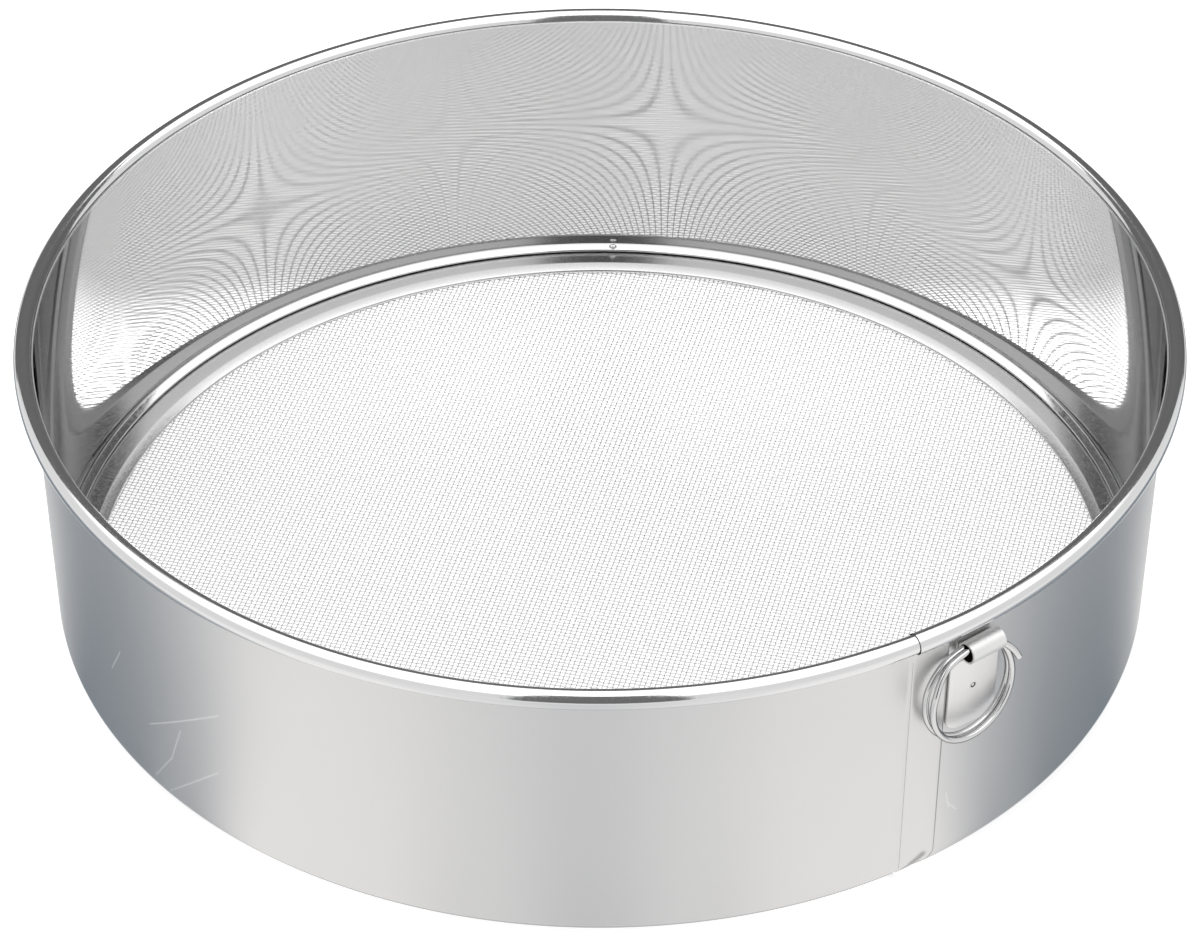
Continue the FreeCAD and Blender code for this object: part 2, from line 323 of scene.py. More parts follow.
def steel_wear_group():
    """Shared effect: cloudy smears and fine grain of handled sheet steel."""
    group = effect_group("Steel wear", (("Vector", "Vector", None), ("Smear scale", "Float", 40.0),
                                        ("Grain scale", "Float", 900.0)), ("Smear", "Grain"))
    if group:
        desk = NodeDesk(group)
        given = group.nodes.new("NodeGroupInput").outputs
        result = group.nodes.new("NodeGroupOutput").inputs
        for name, detail in (("Smear", 4.0), ("Grain", 2.0)):
            noise = desk.add("TexNoise", {"Vector": given["Vector"], "Scale": given[name + " scale"],
                                          "Detail": detail})
            desk.feed(result[name], noise.outputs["Fac"])
    return bpy.data.node_groups["Steel wear"]


def scratch_and_shade_line_group():
    """Shared effect: one line between two points, drawn as a fine scratch and as painted fold shade."""
    group = effect_group("Scratch and shade line", (("Vector", "Vector", None), ("From", "Vector", None),
                                      ("To", "Vector", None), ("Width", "Float", 0.1 * MM)), ("Mask",))
    if group:
        desk = NodeDesk(group)
        given = group.nodes.new("NodeGroupInput").outputs
        result = group.nodes.new("NodeGroupOutput").inputs
        way = desk.vector("SUBTRACT", given["To"], given["From"]).outputs[0]
        arm = desk.vector("SUBTRACT", given["Vector"], given["From"]).outputs[0]
        along = desk.math("DIVIDE", desk.vector("DOT_PRODUCT", arm, way).outputs["Value"],
                          desk.vector("DOT_PRODUCT", way, way).outputs["Value"])
        along = desk.math("MINIMUM", desk.math("MAXIMUM", along, 0.0), 1.0)
        reach = desk.add("VectorMath", {0: way, "Scale": along}, operation="SCALE").outputs[0]
        apart = desk.vector("DISTANCE", arm, reach).outputs["Value"]
        desk.feed(result["Mask"], desk.rise(apart, 0.0, given["Width"], 1.0, 0.0))
    return bpy.data.node_groups["Scratch and shade line"]


def steel(name, colour, rough, swing, shade, scales, bump, edge=1.0, metal=1.0, hairlines=(), painted_fold_shade=()):
    """A stainless finish with smears in its colour and grain in its gloss."""
    found = bpy.data.materials.get(name)
    if found:
        return found
    material = bpy.data.materials.new(name)
    material.use_nodes = True
    desk = NodeDesk(material.node_tree)
    shader = material.node_tree.nodes["Principled BSDF"].inputs
    shader["Metallic"].default_value = metal
    shader["Specular Tint"].default_value = (edge, edge, edge, 1)
    place = desk.add("TexCoord").outputs["Object"]
    wear = desk.add("Group", node_tree=steel_wear_group())
    for key, value in (("Vector", place), ("Smear scale", scales[0]), ("Grain scale", scales[1])):
        desk.feed(wear.inputs[key], value)
    dim = (*[part * (1 - shade) for part in colour], 1)
    light = (*[min(part * (1 + shade), 1) for part in colour], 1)
    tint = desk.blend(wear.outputs["Smear"], dim, light)
    gloss = desk.rise(wear.outputs["Grain"], 0.3, 0.7, rough - swing, rough + swing) if swing else rough
    if hairlines:
        lines = [(start, end, HAIRLINE_WIDTH) for start, end in hairlines]
        mask = lined(desk, place, lines, strength=0.6)
        tint = desk.blend(mask, tint, (0.95, 0.95, 0.95, 1))
        gloss = desk.math("ADD", gloss, desk.math("MULTIPLY", mask, 0.3))
    if painted_fold_shade:
        # Painted shade: the fold lines darken the colour to a third along the lap and the dent.
        dark = (*[part * 0.3 for part in colour], 1)
        tint = desk.blend(lined(desk, place, painted_fold_shade, strength=0.7), tint, dark)
    desk.feed(shader["Base Color"], tint)
    desk.feed(shader["Roughness"], gloss)
    if bump:
        raised = desk.add("Bump", {"Height": wear.outputs["Grain"], "Strength": 1.0, "Distance": bump})
        desk.feed(shader["Normal"], raised.outputs["Normal"])
    return material


def lined(desk, place, lines, strength):
    """Mask of lines, given on the wall as if it were unrolled."""
    split = desk.add("SeparateXYZ", {0: place}).outputs
    angle = desk.math("ARCTAN2", split["X"], desk.math("MULTIPLY", split["Y"], -1.0))
    flat = desk.add("CombineXYZ", {"X": angle, "Y": split["Z"]}).outputs[0]
    flat = desk.vector("MULTIPLY", flat, (WALL_MIDDLE, 1, 1)).outputs[0]
    mask = None
    for start, end, width in lines:
        line = desk.add("Group", node_tree=scratch_and_shade_line_group())
        desk.feed(line.inputs["Vector"], flat)
        for key, (angle, height) in (("From", start), ("To", end)):
            line.inputs[key].default_value = (math.radians(angle) * WALL_MIDDLE, height * MM, 0)
        line.inputs["Width"].default_value = width * MM
        mask = desk.math("MAXIMUM", mask, line.outputs["Mask"]) if mask else line.outputs["Mask"]
    return desk.math("MULTIPLY", mask, strength)


def satin_steel():
    """Outer wall, with its scratches and painted shade along the lap's edge, its crease and the dent at the
    foot.
    """
    looks = settings("finish")
    return steel("satin_wall", looks.satin, rough=looks.satin_roughness, swing=0.03, shade=0.02,
                 scales=(25, 2600), bump=3e-6, metal=0.9, hairlines=HAIRLINES, painted_fold_shade=FOLD_SHADE_LINES)


def mirror_steel():
    """Inner wall, which mirrors the cloth."""
    return steel("mirror_wall", settings("finish").mirror, rough=0.04, swing=0.01, shade=0.015,
                 scales=(20, 60), bump=1e-6, edge=0.8)


def bright_steel():
    """Rim curl and retaining wire."""
    looks = settings("finish")
    return steel("bright_rim", looks.bright, rough=looks.bright_roughness, swing=0.03, shade=0.02,
                 scales=(60, 1200), bump=0.3e-6, metal=0.9)


def ring_steel():
    """Split ring, dark along the edges of its wire, where its near-black edge tint paints the shade."""
    return steel("wound_ring", settings("finish").pressed, rough=0.12, swing=0.03, shade=0.02,
                 scales=(60, 1200), bump=0.3e-6, edge=0.02)


def plate_steel():
    """Plate and knuckle of the hanger strap."""
    return steel("strap_plate", settings("finish").strap, rough=0.5, swing=0.03, shade=0.02,
                 scales=(60, 2000), bump=3e-6)


def painted_shade_steel():
    """Painted shade: near-black steel for the inside of the knuckle and the dip of the spot weld."""
    return steel("painted_shade_dark", (0.07, 0.065, 0.06), rough=0.5, swing=0.05, shade=0.1,
                 scales=(200, 2000), bump=3e-6, edge=0.9)


def pressed_steel():
    """Clamp ring."""
    return steel("pressed_ring", settings("finish").pressed, rough=0.24, swing=0.03, shade=0.02,
                 scales=(60, 2000), bump=3e-6, edge=0.9)


def cloth_steel():
    """Drawn wire, a little duller in places."""
    return steel("cloth_wire", settings("finish").cloth, rough=0.4, swing=0, shade=0.03,
                 scales=(30, 900), bump=0, metal=0.9)


class SIEVE_OT_hoop(bpy.types.Operator):
    """Makes the drum's strip with its foot, lap seam and rolled rim"""
    bl_idname = "sieve.hoop"
    bl_label = "Drum hoop"

    def execute(self, context):
        hoop = settings("hoop")
        bm = bmesh.new()
        foot = foot_radius(hoop)
        line = start_line(bm, foot - hoop.ledge, 0)
        line = run_line(bm, line, hoop.ledge, 0)
        line = bend_line(bm, line, foot, hoop.foot_bend, math.pi / 2 - hoop.lean, 8)
        rise = hoop.height - hoop.curl_radius - line.co.z
        for share in (0.02, 0.04, 0.94):
            line = run_line(bm, line, share * rise * math.tan(hoop.lean), share * rise)
        turn_to(bm, bm.verts[:], hoop.lap_start)
        pressed = math.radians(7)
        last = spin_round(bm, bm.verts[:] + bm.edges[:], pressed, 28)
        last = spin_round(bm, last, FULL_TURN - hoop.lap_ramp - pressed, 350)
        self.lay_over(bm, hoop, last)
        self.press_dent(bm, hoop)
        bmesh.ops.recalc_face_normals(bm, faces=bm.faces[:])
        if sum(face.normal.dot(Vector((*face.calc_center_median().xy, 0))) for face in bm.faces) < 0:
            bmesh.ops.reverse_faces(bm, faces=bm.faces[:])
        bmesh.ops.solidify(bm, geom=bm.faces[:], thickness=hoop.sheet)
        for face in bm.faces:
            middle = face.calc_center_median()
            inside = middle.xy.length < wall_radius(hoop, middle.z) - 0.75 * hoop.sheet
            face.material_index = 1 if inside and middle.z > hoop.sheet / 2 else 0
        self.roll_rim(bm, hoop)
        finish_piece(bm, "hoop", "drum",
                     [satin_steel(), mirror_steel(), bright_steel()], ["drum_hoop"])
        return {"FINISHED"}

    def lay_over(self, bm, hoop, last):
        """The outer end of the strip, raised onto the inner end."""
        before = set(bm.verts)
        tail = [item for item in last if isinstance(item, bmesh.types.BMEdge)
                and min(vert.co.z for vert in item.verts) > hoop.foot_bend / 2]
        tail_verts = list({vert for edge in tail for vert in edge.verts})
        reach = hoop.lap_ramp + hoop.lap_end - hoop.lap_start
        edge = math.radians(0.4)
        lift, turned_in = 0.45 * MM, 0.9 * MM
        corner, corner_foot = 3 * MM, 1.7 * MM
        last = spin_round(bm, tail_verts + tail, hoop.lap_ramp, 6)
        last = spin_round(bm, last, reach - hoop.lap_ramp - edge, 12)
        spin_round(bm, last, edge, 6)
        ramp = hoop.lap_start - hoop.lap_ramp
        for vert in bm.verts:
            if vert in before:
                continue
            angle = front_angle(vert.co)
            up = 1.04 * hoop.sheet * smooth_step(angle, ramp, hoop.lap_start)
            up += lift * max(angle - hoop.lap_start, 0) / (hoop.lap_end - hoop.lap_start)
            over = min(max((angle - hoop.lap_end + edge) / edge, 0), 1)
            up -= turned_in * (1 - math.sqrt(1 - over * over))
            flat = vert.co.xy.length
            vert.co.xy *= 1 + up * smooth_step(vert.co.z, 1 * MM, 5 * MM) / flat
            if vert.co.z < corner + corner_foot:
                lack = corner - math.sqrt(max(corner ** 2 - (corner + corner_foot - vert.co.z) ** 2, 0))
                pull = lack / flat * smooth_step(angle, hoop.lap_start, hoop.lap_end)
                vert.co.xy = (Matrix.Rotation(-pull, 3, "Z") @ vert.co).xy

    def press_dent(self, bm, hoop):
        """The fold at the foot where the strip's ends were pressed together."""
        wide, tall, depth = 8 * MM, 6 * MM, 0.6 * MM
        fold_up, fold_aside = 3.1, 4.6
        for vert in bm.verts:
            aside = (front_angle(vert.co) - hoop.lap_start) * WALL_MIDDLE
            if not 0 < aside < wide or vert.co.z > tall:
                continue
            below = (aside * fold_up - vert.co.z * fold_aside) / math.hypot(fold_up, fold_aside)
            push = depth * smooth_step(below, -0.3 * MM, 0.8 * MM)
            push *= 1 - smooth_step(aside, 3 * MM, 7.5 * MM)
            push *= smooth_step(vert.co.z, 0.7 * MM, 1.5 * MM)
            vert.co.xy *= 1 - push / vert.co.xy.length

    def roll_rim(self, bm, hoop):
        """The rim curl, one end of which goes into the other."""
        before = set(bm.verts), set(bm.faces)
        centre = Vector((0, hoop.curl_radius - hoop.rim_radius, hoop.height - hoop.curl_radius))
        place = Matrix.Translation(centre) @ Matrix.Rotation(math.pi / 2, 4, "Y")
        bmesh.ops.create_circle(bm, cap_ends=False, segments=28, radius=hoop.curl_radius, matrix=place)
        ring = [vert for vert in bm.verts if vert not in before[0]]
        joint = hoop.lap_start - math.radians(0.55)
        turn_to(bm, ring, joint)
        edges = list({edge for vert in ring for edge in vert.link_edges})
        reach, steps = FULL_TURN + math.radians(4), 364
        sleeve, tucked = 0.065, 0.05
        spin_round(bm, ring + edges, reach, steps)
        new = [vert for vert in bm.verts if vert not in before[0]]
        for index, vert in enumerate(new):
            gone = reach * (index // len(ring)) / steps
            axis = Matrix.Rotation(joint + gone, 4, "Z") @ centre
            swell = sleeve * (1 - smooth_step(gone, 0, math.radians(9)))
            swell -= tucked * smooth_step(gone, FULL_TURN - math.radians(5), FULL_TURN)
            vert.co = axis + (vert.co - axis) * (1 + swell)
        highest = hoop.height + 0.15 * MM
        for vert in new:
            vert.co.z = min(vert.co.z, highest)
        ends = [edge for edge in bm.edges if edge.is_boundary]
        caps = bmesh.ops.holes_fill(bm, edges=ends, sides=0)["faces"]
        made = [face for face in bm.faces if face not in before[1]]
        bmesh.ops.recalc_face_normals(bm, faces=made)
        bmesh.ops.inset_individual(bm, faces=caps, thickness=0.2 * MM, depth=-1.5 * MM,
                                   use_even_offset=True)
        for face in bm.faces:
            if face not in before[1]:
                face.material_index = 2


class SIEVE_OT_cloth(bpy.types.Operator):
    """Weaves the wire cloth, wire by wire"""
    bl_idname = "sieve.cloth"
    bl_label = "Woven cloth"

    def execute(self, context):
        cloth = settings("cloth")
        count = int(cloth.radius / cloth.pitch)
        halves = {"warp_left": (False, range(-count, 0)), "warp_right": (False, range(0, count)),
                  "weft_front": (True, range(-count, 0)), "weft_back": (True, range(0, count))}
        for name, (crosswise, wires) in halves.items():
            bm = bmesh.new()
            for index in wires:
                self.weave(bm, cloth, index, crosswise)
            close_up(bm)
            replaced = ["mesh_disc"] if name == "warp_left" else []
            finish_piece(bm, "cloth_" + name, "drum", [cloth_steel()], replaced,
                         crease=100)
        return {"FINISHED"}

    def weave(self, bm, cloth, index, crosswise):
        """One crimped wire, over and under the wires that cross it."""
        aside = (index + 0.5) * cloth.pitch
        half = math.sqrt(max(cloth.radius ** 2 - aside ** 2, 0))
        crossings = int(half / cloth.pitch)
        if crossings < 2:
            return
        segments = 2 * crossings - 1
        grid = bmesh.ops.create_grid(bm, x_segments=segments, y_segments=4, size=1)["verts"]
        middle = 0.8 * MM
        radius = cloth.wire / 2
        turn = Matrix.Rotation(cloth.turn, 3, "Z")
        for vert in grid:
            step = round((vert.co.x + 1) / 2 * segments) - crossings
            along = (step + 0.5) * cloth.pitch
            over = 1 if (step + index + crosswise) % 2 else -1
            way = math.pi * (vert.co.y + 1) + math.pi / 4
            across = aside + radius * math.cos(way)
            up = middle + radius * (over + math.sin(way))
            spot = (along, across, up) if crosswise else (across, along, up)
            vert.co = turn @ Vector(spot)


class SIEVE_OT_clamp_ring(bpy.types.Operator):
    """Makes the pressed clamp ring over the cloth's edge"""
    bl_idname = "sieve.clamp_ring"
    bl_label = "Clamp ring"

    def execute(self, context):
        ring, hoop = settings("ring"), settings("hoop")
        bm = bmesh.new()
        slope = ring.lip_slope
        line = start_line(bm, ring.nose_radius, ring.nose_height - ring.nose_bend)
        line = bend_line(bm, line, ring.nose_radius, ring.nose_height, slope - math.pi, 12)
        line = run_line(bm, line, ring.lip_width, ring.lip_width * math.tan(slope))
        soft = 1.2 * MM
        line = bend_line(bm, line, -line.co.y + soft * math.sin(slope), line.co.z - soft * math.cos(slope),
                         -slope, 4)
        wall_gap = 0.6 * MM
        run_line(bm, line, wall_radius(hoop, line.co.z) - wall_gap + line.co.y, 0)
        spin_round(bm, bm.verts[:] + bm.edges[:], FULL_TURN, 360)
        bmesh.ops.remove_doubles(bm, verts=bm.verts[:], dist=1e-7)
        bmesh.ops.recalc_face_normals(bm, faces=bm.faces[:])
        if sum(face.normal.z for face in bm.faces) < 0:
            bmesh.ops.reverse_faces(bm, faces=bm.faces[:])
        bmesh.ops.solidify(bm, geom=bm.faces[:], thickness=hoop.sheet)
        finish_piece(bm, "clamp_ring_pressed", "drum", [pressed_steel()], ["clamp_ring"])
        return {"FINISHED"}


class SIEVE_OT_retaining_wire(bpy.types.Operator):
    """Makes the welded wire ring above the clamp ring"""
    bl_idname = "sieve.retaining_wire"
    bl_label = "Retaining wire"

    def execute(self, context):
        ring, hoop = settings("ring"), settings("hoop")
        bm = bmesh.new()
        low, lean = ring.wire_low, ring.wire_lean
        inside = hoop.sheet + SEAT
        front = wall_radius(hoop, low) - inside - ring.wire_width
        small, large = 0.3 * MM, 0.45 * MM
        first = start_line(bm, wall_radius(hoop, low) - inside, low)
        line = run_line(bm, first, small - ring.wire_width, 0)
        line = bend_line(bm, line, front + small, low + small, -math.pi / 2 - lean, 8)
        line = run_line(bm, line, ring.wire_face * math.sin(lean), ring.wire_face * math.cos(lean))
        line = bend_line(bm, line, large * math.cos(lean) - line.co.y, line.co.z - large * math.sin(lean),
                         lean - math.pi / 2, 4)
        high = line.co.z
        line = run_line(bm, line, wall_radius(hoop, high) - inside + line.co.y, 0)
        run_line(bm, line, line.co.y - first.co.y, low - high)
        spin_round(bm, bm.verts[:] + bm.edges[:], FULL_TURN, 360)
        close_up(bm)
        nub, nub_back, nub_drop, nub_stretch = 0.55 * MM, 0.7 * MM, 0.3 * MM, 1.6
        place = Matrix.Rotation(ring.weld_angle, 4, "Z") @ Matrix.Translation(
            (0, -front - nub_back, high - nub_drop)) @ Matrix.Diagonal((nub_stretch, 1, 1, 1))
        bmesh.ops.create_uvsphere(bm, u_segments=20, v_segments=12, radius=nub, matrix=place)
        finish_piece(bm, "retaining_wire_welded", "drum", [bright_steel()],
                     ["retaining_wire"], crease=60)
        return {"FINISHED"}


class SIEVE_OT_hanger(bpy.types.Operator):
    """Makes the strap with its plate and rolled knuckle"""
    bl_idname = "sieve.hanger"
    bl_label = "Hanger strap"

    def execute(self, context):
        hanger, hoop = settings("hanger"), settings("hoop")
        hinge = Vector(HINGE["pos_m"])
        back = hinge.xy.length - wall_radius(hoop, hinge.z) - SEAT
        bm = bmesh.new()
        self.roll_knuckle(bm, hanger, back)
        self.lay_plate(bm, hanger, back)
        bmesh.ops.rotate(bm, verts=bm.verts[:], cent=(0, 0, 0), matrix=Matrix.Rotation(hoop.lean, 3, "X"))
        bmesh.ops.translate(bm, verts=bm.verts[:], vec=(0, -hinge.xy.length, hinge.z))
        turn_to(bm, bm.verts[:], hanger.angle)
        finish_piece(bm, "hanger_strap_rolled", "drum", [plate_steel(), painted_shade_steel()],
                     ["hanger_strap"], crease=30)
        return {"FINISHED"}

    def roll_knuckle(self, bm, hanger, back):
        """The strap's top, rolled forward round the split ring."""
        radius = hanger.knuckle_radius
        centre = (0, back - radius, hanger.knuckle_raise)
        tail, roll = 4 * MM, math.radians(312)
        ends = [bm.verts.new((side, back, -tail)) for side in (-hanger.knuckle_left, hanger.knuckle_right)]
        edge = bm.edges.new(ends)
        up = bmesh.ops.extrude_edge_only(bm, edges=[edge])["geom"]
        tops = [item for item in up if isinstance(item, bmesh.types.BMVert)]
        bmesh.ops.translate(bm, verts=tops, vec=(0, 0, tail + hanger.knuckle_raise))
        top_edge = [item for item in up if isinstance(item, bmesh.types.BMEdge)
                    and all(vert in tops for vert in item.verts)]
        bmesh.ops.spin(bm, geom=tops + top_edge, cent=centre, axis=X_AXIS, dvec=(0, 0, 0),
                       angle=roll, steps=32, use_merge=False)
        bmesh.ops.recalc_face_normals(bm, faces=bm.faces[:])
        outward = sum(face.normal.dot(face.calc_center_median() - Vector(centre)) for face in bm.faces)
        if outward < 0:
            bmesh.ops.reverse_faces(bm, faces=bm.faces[:])
        bmesh.ops.solidify(bm, geom=bm.faces[:], thickness=hanger.sheet)
        # The faces inside the roll take the painted shade.
        for face in bm.faces:
            arm = (face.calc_center_median() - Vector(centre)).yz
            face.material_index = 1 if arm.length < radius - 0.75 * hanger.sheet else 0

    def lay_plate(self, bm, hanger, back):
        """The flat plate with rounded lower corners and a spot weld."""
        old_verts, old_faces = set(bm.verts), set(bm.faces)
        top = -3.2 * MM
        tall = hanger.plate_drop + top
        grid = bmesh.ops.create_grid(bm, x_segments=1, y_segments=1, size=0.5)["verts"]
        bmesh.ops.rotate(bm, verts=grid, cent=(0, 0, 0), matrix=Matrix.Rotation(math.pi / 2, 3, "X"))
        bmesh.ops.scale(bm, verts=grid, vec=(hanger.plate_width, 1, tall))
        bmesh.ops.translate(bm, verts=grid, vec=(0, back - hanger.sheet, top - tall / 2))
        low = [vert for vert in grid if vert.co.z < top - tall / 2]
        bmesh.ops.bevel(bm, geom=low, offset=hanger.plate_corner, offset_type="OFFSET", segments=8,
                        profile=0.5, affect="VERTICES", material=-1)
        faces = [face for face in bm.faces if face not in old_faces]
        pulled = bmesh.ops.extrude_face_region(bm, geom=faces)["geom"]
        back_verts = [item for item in pulled if isinstance(item, bmesh.types.BMVert)]
        bmesh.ops.translate(bm, verts=back_verts, vec=(0, hanger.sheet, 0))
        faces = [face for face in bm.faces if face not in old_faces]
        bmesh.ops.recalc_face_normals(bm, faces=faces)
        front = [edge for edge in bm.edges
                 if all(vert not in old_verts and abs(vert.co.y - back + hanger.sheet) < 1e-6
                        for vert in edge.verts)]
        bmesh.ops.bevel(bm, geom=front, offset=0.2 * MM, offset_type="OFFSET", segments=3, profile=0.5,
                        affect="EDGES", material=-1)
        self.weld_spot(bm, hanger, back)
        plate = [vert for vert in bm.verts if vert not in old_verts]
        stand_off = math.radians(5)
        bmesh.ops.rotate(bm, verts=plate, cent=(-hanger.plate_width / 2, back, 0),
                         matrix=Matrix.Rotation(-stand_off, 3, "Z"))

    def weld_spot(self, bm, hanger, back):
        """The raised spot weld in the middle of the plate, with a dip in it."""
        drop, radius = 10.7 * MM, 0.8 * MM
        place = Matrix.Translation((0, back - hanger.sheet, -drop)) @ Matrix.Rotation(math.pi / 2, 4, "X")
        stud = bmesh.ops.create_cone(bm, cap_ends=True, segments=24, radius1=radius, radius2=radius,
                                     depth=0.06 * MM, matrix=place)["verts"]
        caps = {face for vert in stud for face in vert.link_faces if len(face.verts) > 4}
        cap = [min(caps, key=lambda face: face.calc_center_median().y)]
        bmesh.ops.inset_region(bm, faces=cap, thickness=0.2 * MM, depth=0.1 * MM, use_even_offset=True)
        dip = bmesh.ops.inset_region(bm, faces=cap, thickness=0.25 * MM, depth=-0.1 * MM,
                                     use_even_offset=True)
        # The faces that the dip's inset makes take the painted shade.
        for face in dip["faces"]:
            face.material_index = 1


class SIEVE_OT_split_ring(bpy.types.Operator):
    """Winds the split ring through the knuckle"""
    bl_idname = "sieve.split_ring"
    bl_label = "Split ring"

    def execute(self, context):
        hanger = settings("hanger")
        hinge = Vector(HINGE["pos_m"])
        radius, pitch = hanger.ring_radius, hanger.ring_pitch
        first, last = math.radians(22), math.radians(768)
        top = 1.45 * MM
        centre = Vector((-hanger.ring_aside, 0, top - radius))
        bm = bmesh.new()
        place = Matrix.Translation(centre) @ Matrix.Rotation(-first, 4, "Y") @ Matrix.Translation(
            (radius, pitch * ((first - math.pi / 2) / FULL_TURN - 0.5), 0))
        bmesh.ops.create_circle(bm, cap_ends=False, segments=16, radius=hanger.ring_wire / 2, matrix=place)
        ring = bm.verts[:]
        steps = 186
        bmesh.ops.spin(bm, geom=ring + bm.edges[:], cent=centre, axis=(0, -1, 0),
                       dvec=(0, pitch * (last - first) / FULL_TURN / steps, 0),
                       angle=last - first, steps=steps, use_merge=False)
        outward, furthest_in, squeeze = 0.5 * MM, 1.2 * MM, 0.45
        free_out, free_front, flat, bow = 0.45 * MM, 0.2 * MM, 0.42 * MM, 0.4 * MM
        spring_end, tilt = first + math.radians(38), math.radians(4)
        for index, vert in enumerate(bm.verts):
            turned = first + (last - first) * (index // len(ring)) / steps
            height = math.sin(turned)
            arm = Vector((math.cos(turned), 0, height))
            close = smooth_step(height, 0.3, 0.9)
            middle = pitch * ((turned - math.pi / 2) / FULL_TURN - 0.5)
            moved = min(middle * (1 - squeeze * close) - outward * (1 - close), furthest_in)
            spring = 1 - smooth_step(turned, first, spring_end)
            vert.co += arm * free_out * spring
            vert.co.y += moved - middle - free_front * spring
            vert.co.z -= flat * smooth_step(height, 0.75, 1.0)
            if arm.x > 0:
                vert.co.z += bow * smooth_step(height, 0.3, 0.7) * (1 - smooth_step(height, 0.75, 0.98))
        close_up(bm)
        bmesh.ops.rotate(bm, verts=bm.verts[:], cent=(0, 0, 0), matrix=Matrix.Rotation(-tilt, 3, "X"))
        bmesh.ops.translate(bm, verts=bm.verts[:], vec=(0, -hinge.xy.length, hinge.z))
        turn_to(bm, bm.verts[:], hanger.angle)
        finish_piece(bm, "split_ring_wound", "hanging_ring", [ring_steel()],
                     ["split_ring"], crease=50)
        return {"FINISHED"}


class SIEVE_OT_rim_wire(bpy.types.Operator):
    """Gives the core wire inside the rim its finish"""
    bl_idname = "sieve.rim_wire"
    bl_label = "Rim wire"

    def execute(self, context):
        core = frame["nodes"]["rim_wire"]
        core.data.materials.clear()
        core.data.materials.append(bright_steel())
        return {"FINISHED"}


class SIEVE_OT_stage(bpy.types.Operator):
    """Sets the white table, the soft light and the camera"""
    bl_idname = "sieve.stage"
    bl_label = "Stage"

    def execute(self, context):
        looks = settings("stage")
        scene = context.scene
        scene.view_settings.view_transform = "Standard"
        self.lay_table(scene, looks)
        self.light_room(scene, looks)
        self.hang_lamp(scene, looks)
        self.stand_cards(scene)
        self.aim_camera(scene, looks)
        return {"FINISHED"}

    def lay_table(self, scene, looks):
        """A white table that keeps the drum's shadow."""
        bm = bmesh.new()
        bmesh.ops.create_circle(bm, cap_ends=True, segments=96, radius=3.0,
                                matrix=Matrix.Translation((0, 0, -0.1 * MM)))
        material = bpy.data.materials.new("table_white")
        self.set_piece(scene, bm, "table", material)
        material.use_nodes = True
        nodes = material.node_tree.nodes
        nodes.remove(nodes["Principled BSDF"])
        desk = NodeDesk(material.node_tree)
        rays = desk.add("LightPath").outputs
        paint = desk.add("BsdfDiffuse", {"Color": (*looks.table, 1)})
        glare = desk.math("MULTIPLY", rays["Is Camera Ray"], self.table_glow(desk))
        glow = desk.add("Emission", {"Strength": glare})
        lit = desk.add("AddShader", {0: paint.outputs[0], 1: glow.outputs[0]})
        seen = desk.add("Emission", {"Color": self.table_in_metal(desk),
                                     "Strength": self.table_strength(desk)})
        mix = desk.add("MixShader", {0: rays["Is Glossy Ray"], 1: lit.outputs[0], 2: seen.outputs[0]})
        desk.feed(nodes["Material Output"].inputs["Surface"], mix.outputs[0])

    def table_glow(self, desk):
        """The table's glare for the camera, stronger under the back of the cloth."""
        place = desk.add("TexCoord").outputs["Object"]
        split = desk.add("SeparateXYZ", {0: place}).outputs
        under = desk.rise(desk.vector("LENGTH", place).outputs["Value"], *CLOTH_EDGE, 1.0, 0.0)
        back = desk.rise(split["Y"], 0.02, 0.095, 0.0, 0.46)
        aside = desk.rise(desk.math("ABSOLUTE", split["X"]), 0.03, 0.09, 0.0, -0.06)
        even = 0.62
        return desk.math("ADD", even, desk.math("MULTIPLY", under, desk.math("ADD", back, aside)))

    def table_strength(self, desk):
        """How the table shines in metal: most in the wall above the cloth, less in the wires near it."""
        place = desk.add("TexCoord").outputs["Object"]
        away = desk.vector("LENGTH", place).outputs["Value"]
        aside = desk.math("ABSOLUTE", desk.add("SeparateXYZ", {0: place}).outputs["X"])
        even = 1.06
        near = desk.rise(away, *CLOTH_EDGE, 0.46, 0.0)
        shine = desk.rise(away, *CLOTH_EDGE, desk.rise(aside, 0.05, 0.085, 0.25, 4.4), 0.0)
        far = desk.rise(desk.add("LightPath").outputs["Ray Length"], 0.004, 0.014)
        return desk.math("ADD", desk.math("ADD", even, near), desk.math("MULTIPLY", shine, far))

    def table_in_metal(self, desk):
        """The table as the metal sees it, with painted shade left and right of the drum."""
        place = desk.add("TexCoord").outputs["Object"]
        split = desk.add("SeparateXYZ", {0: place}).outputs
        away = desk.vector("LENGTH", place).outputs["Value"]
        drum = 0.115
        apart = desk.math("MAXIMUM", desk.math("DIVIDE", desk.math("SUBTRACT", away, drum), drum), 0.0)
        angle = desk.math("ARCTAN2", split["X"], desk.math("MULTIPLY", split["Y"], -1.0))
        lag = desk.math("SUBTRACT", 1.0, desk.math("MULTIPLY", desk.math("POWER", apart, 0.6), 0.43))
        angle = desk.math("ADD", desk.math("MULTIPLY", angle, lag), math.radians(1.2))
        turn = desk.math("DIVIDE", desk.math("ABSOLUTE", angle), math.pi / 2)
        ramp = desk.add("ValToRGB", {"Fac": turn})
        ramp.color_ramp.interpolation = "EASE"
        stops = ((0.0, 0.70), (0.12, 0.84), (0.24, 0.97), (0.38, 1.0), (0.50, 0.44), (0.60, 0.26),
                 (0.73, 0.22), (0.82, 0.5), (0.89, 1.0))
        for spot, _ in stops[1:-1]:
            ramp.color_ramp.elements.new(spot)
        for element, (spot, light) in zip(ramp.color_ramp.elements, stops):
            element.position = spot
            blue = 0.062 * (1 - light) - 0.012
            element.color = (light - blue, light, light + blue, 1)
        near = desk.math("MULTIPLY", desk.rise(away, 0.111, 0.116), desk.rise(away, 0.26, 0.36, 1.0, 0.0))
        return desk.blend(near, (0.85, 0.85, 0.85, 1), ramp.outputs["Color"])

